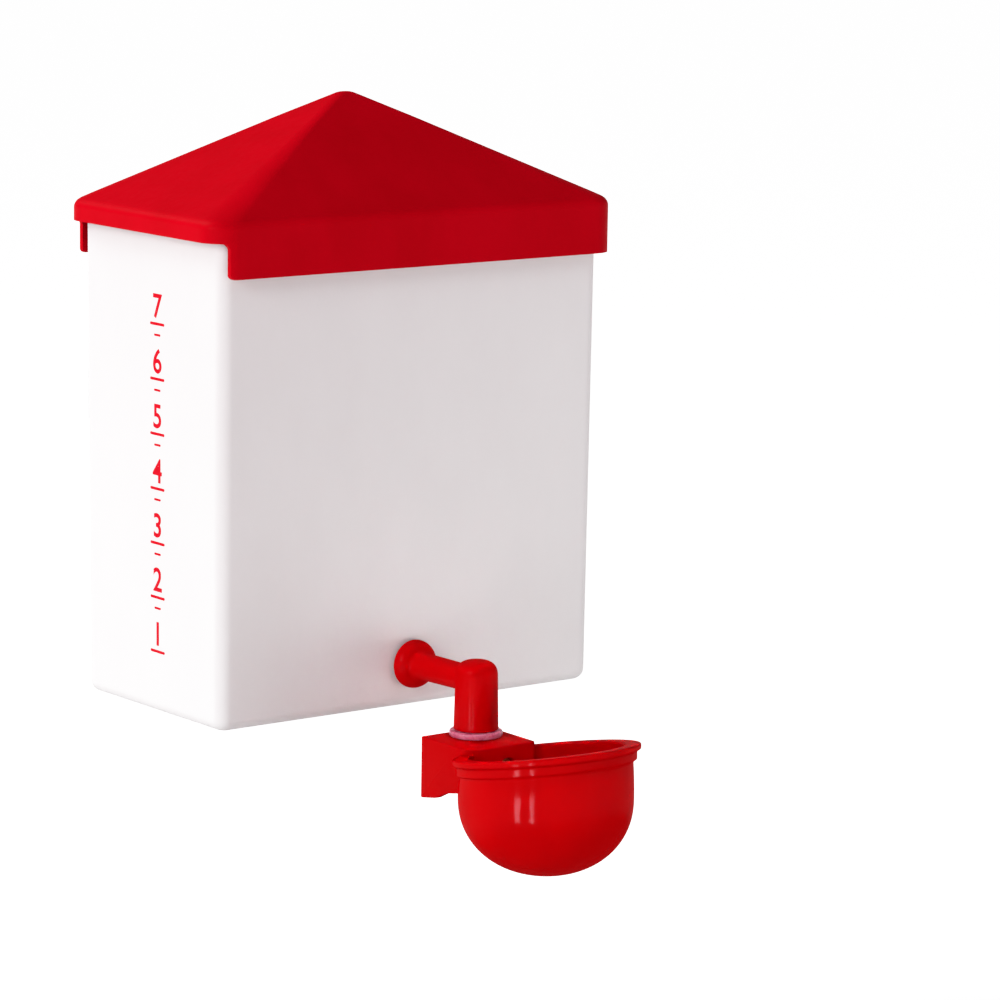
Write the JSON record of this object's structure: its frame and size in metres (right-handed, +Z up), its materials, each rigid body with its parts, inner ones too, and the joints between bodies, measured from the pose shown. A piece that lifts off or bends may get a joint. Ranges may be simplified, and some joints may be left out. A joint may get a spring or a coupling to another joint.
{
  "type": "wall-hung poultry waterer",
  "caption": "Box tank with a pyramid lid that hangs on a wall rail and feeds a round drinking cup through a flanged elbow and a float valve.",
  "frame": {"origin": "centre of the wall rail's back face, where it lies on the wall", "axes": "+Z up, +Y into the wall, -Y towards the bird, +X across the tank to the right seen from the front"},
  "size_m": [0.213, 0.269, 0.3168],
  "materials": {
    "tank_white": "satin moulded polyethylene, faintly pebbled",
    "lid_red": "satin moulded red plastic",
    "cup_red": "glossy moulded red plastic",
    "nut_red": "satin moulded red plastic",
    "gasket_clear": "translucent silicone, tinted by the red behind it",
    "black_rubber": "matt black rubber",
    "float_white": "natural white moulded plastic",
    "zinc_steel": "bright zinc plate",
    "brass": "turned brass"
  },
  "bodies": {
    "rail": {"wall_rail": "zinc_steel", "rail_screw_left": "zinc_steel", "rail_screw_right": "zinc_steel"},
    "tank": {"tank_body": "tank_white", "outlet_elbow": "cup_red", "outer_washer": "black_rubber", "inner_washer": "black_rubber", "bulkhead_nut": "nut_red"},
    "lid": {"lid": "lid_red"},
    "cup": {"cup_body": "cup_red", "swivel_gasket": "gasket_clear", "inlet_nipple": "cup_red", "nipple_o_ring": "black_rubber", "valve_seat": "brass", "seat_o_ring": "black_rubber", "lever_pin": "zinc_steel"},
    "float_arm": {"float_lever": "float_white", "float": "float_white", "float_clip": "zinc_steel"},
    "plunger": {"valve_plunger": "float_white", "plunger_rubber": "black_rubber"}
  },
  "joints": [
    {"name": "tank_lift", "type": "slide", "parent": "rail", "child": "tank", "axis": [0, 0, 1], "range_m": [0, 0.03]},
    {"name": "lid_lift", "type": "slide", "parent": "tank", "child": "lid", "axis": [0, 0, 1], "range_m": [0, 0.12]},
    {"name": "cup_swivel", "type": "hinge", "parent": "tank", "child": "cup", "pos_m": [0, -0.1625, -0.1305], "axis": [0, 0, 1], "range_deg": [-90, 90]},
    {"name": "float_rise", "type": "hinge", "parent": "cup", "child": "float_arm", "pos_m": [0, -0.1895, -0.15], "axis": [-1, 0, 0], "range_deg": [0, 20]},
    {"name": "valve_close", "type": "slide", "parent": "cup", "child": "plunger", "axis": [0, 1, 0], "range_m": [0, 0.002]}
  ],
  "couplings": [
    {"joint": "valve_close", "follows": "float_rise", "m_per_rad": 0.0055}
  ]
}
